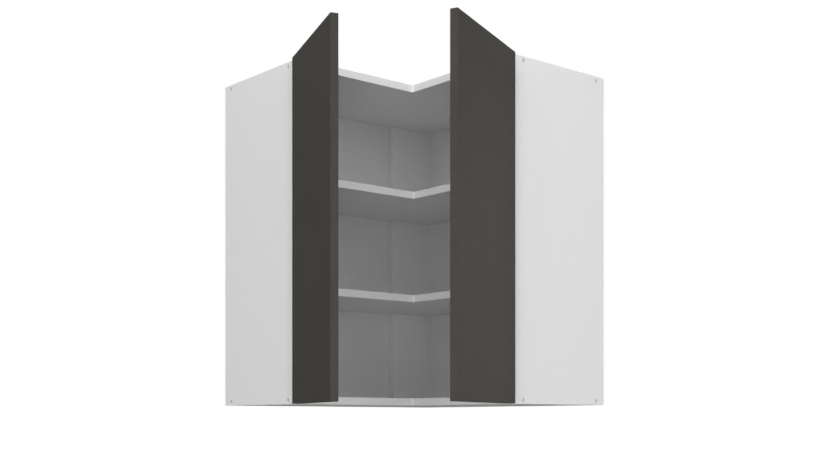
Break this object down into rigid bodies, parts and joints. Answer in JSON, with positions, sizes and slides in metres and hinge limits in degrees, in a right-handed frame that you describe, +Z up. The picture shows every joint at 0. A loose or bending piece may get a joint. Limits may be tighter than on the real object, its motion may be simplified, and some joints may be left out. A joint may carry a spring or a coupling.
{
  "type": "corner wall cabinet",
  "caption": "L-shaped corner wall cabinet in white board with shelves and plain dark doors that open outward on concealed wide-angle hinges.",
  "frame": {"origin": "the vertical room corner where the two rear faces meet, at the height of the carcass's underside", "axes": "+Z up; +X along the right leg's wall, +Y into that wall, so the left leg runs along -Y on the wall x = 0"},
  "size_m": [0.7409, 0.7247, 0.72],
  "materials": {
    "white_board": "white melamine on chipboard, fine satin grain",
    "back_board": "white lacquered hardboard",
    "dark_front": "dark graphite lacquer on fibreboard, semi-gloss",
    "hinge_steel": "nickel-plated pressed steel",
    "screw_steel": "zinc-plated steel",
    "zinc_steel": "zinc-plated steel",
    "hanger_plastic": "moulded white plastic",
    "bumper_silicone": "clear silicone"
  },
  "bodies": {
    "carcass": {"back_board_left": "back_board", "back_board_right": "back_board", "bottom_panel": "white_board", "carcass_screw_left_lower_front": "screw_steel", "carcass_screw_left_lower_rear": "screw_steel", "carcass_screw_left_upper_front": "screw_steel", "carcass_screw_left_upper_rear": "screw_steel", "carcass_screw_right_lower_front": "screw_steel", "carcass_screw_right_lower_rear": "screw_steel", "carcass_screw_right_upper_front": "screw_steel", "carcass_screw_right_upper_rear": "screw_steel", "corner_board": "white_board", "hanger_hook_left": "zinc_steel", "hanger_hook_right": "zinc_steel", "hanger_housing_left": "hanger_plastic", "hanger_housing_right": "hanger_plastic", "hinge_arm_left_lower": "hinge_steel", "hinge_arm_left_upper": "hinge_steel", "hinge_arm_right_lower": "hinge_steel", "hinge_arm_right_upper": "hinge_steel", "mounting_plate_left_lower": "hinge_steel", "mounting_plate_left_upper": "hinge_steel", "mounting_plate_right_lower": "hinge_steel", "mounting_plate_right_upper": "hinge_steel", "shelf_lower": "white_board", "shelf_pin_corner_lower": "zinc_steel", "shelf_pin_corner_upper": "zinc_steel", "shelf_pin_left_lower_front": "zinc_steel", "shelf_pin_left_lower_rear": "zinc_steel", "shelf_pin_left_upper_front": "zinc_steel", "shelf_pin_left_upper_rear": "zinc_steel", "shelf_pin_right_lower_front": "zinc_steel", "shelf_pin_right_lower_rear": "zinc_steel", "shelf_pin_right_upper_front": "zinc_steel", "shelf_pin_right_upper_rear": "zinc_steel", "shelf_upper": "white_board", "side_panel_left": "white_board", "side_panel_right": "white_board", "top_panel": "white_board"},
    "swing_links_left": {"swing_link_left_lower": "hinge_steel", "swing_link_left_upper": "hinge_steel"},
    "knee_links_left": {"knee_link_left_lower": "hinge_steel", "knee_link_left_upper": "hinge_steel"},
    "door_leaf_left": {"bumper_left_lower": "bumper_silicone", "bumper_left_upper": "bumper_silicone", "door_left": "dark_front", "hinge_cup_left_lower": "hinge_steel", "hinge_cup_left_upper": "hinge_steel"},
    "swing_links_right": {"swing_link_right_lower": "hinge_steel", "swing_link_right_upper": "hinge_steel"},
    "knee_links_right": {"knee_link_right_lower": "hinge_steel", "knee_link_right_upper": "hinge_steel"},
    "door_leaf_right": {"bumper_right_lower": "bumper_silicone", "bumper_right_upper": "bumper_silicone", "door_right": "dark_front", "hinge_cup_right_lower": "hinge_steel", "hinge_cup_right_upper": "hinge_steel"}
  },
  "joints": [
    {"name": "door_left_opening", "type": "hinge", "parent": "carcass", "child": "swing_links_left", "pos_m": [0.278, -0.572, 0.36], "axis": [0, 0, -1], "range_deg": [-110.6, 14.4]},
    {"name": "door_left_knee", "type": "hinge", "parent": "swing_links_left", "child": "knee_links_left", "pos_m": [0.31147, -0.5739, 0.36], "axis": [0, 0, -1], "range_deg": [-15, 95]},
    {"name": "door_left_cup_pivot", "type": "hinge", "parent": "knee_links_left", "child": "door_leaf_left", "pos_m": [0.32199, -0.61973, 0.36], "axis": [0, 0, -1], "range_deg": [-95, 15]},
    {"name": "door_right_opening", "type": "hinge", "parent": "carcass", "child": "swing_links_right", "pos_m": [0.572, -0.278, 0.36], "axis": [0, 0, 1], "range_deg": [-113.9, 11.1]},
    {"name": "door_right_knee", "type": "hinge", "parent": "swing_links_right", "child": "knee_links_right", "pos_m": [0.57582, -0.31131, 0.36], "axis": [0, 0, 1], "range_deg": [-15, 95]},
    {"name": "door_right_cup_pivot", "type": "hinge", "parent": "knee_links_right", "child": "door_leaf_right", "pos_m": [0.62177, -0.32129, 0.36], "axis": [0, 0, 1], "range_deg": [-95, 15]}
  ],
  "couplings": [
    {"joint": "door_left_knee", "follows": "door_left_opening", "ratio": -0.8},
    {"joint": "door_left_cup_pivot", "follows": "door_left_opening", "ratio": 0.8},
    {"joint": "door_right_knee", "follows": "door_right_opening", "ratio": -0.8},
    {"joint": "door_right_cup_pivot", "follows": "door_right_opening", "ratio": 0.8}
  ]
}
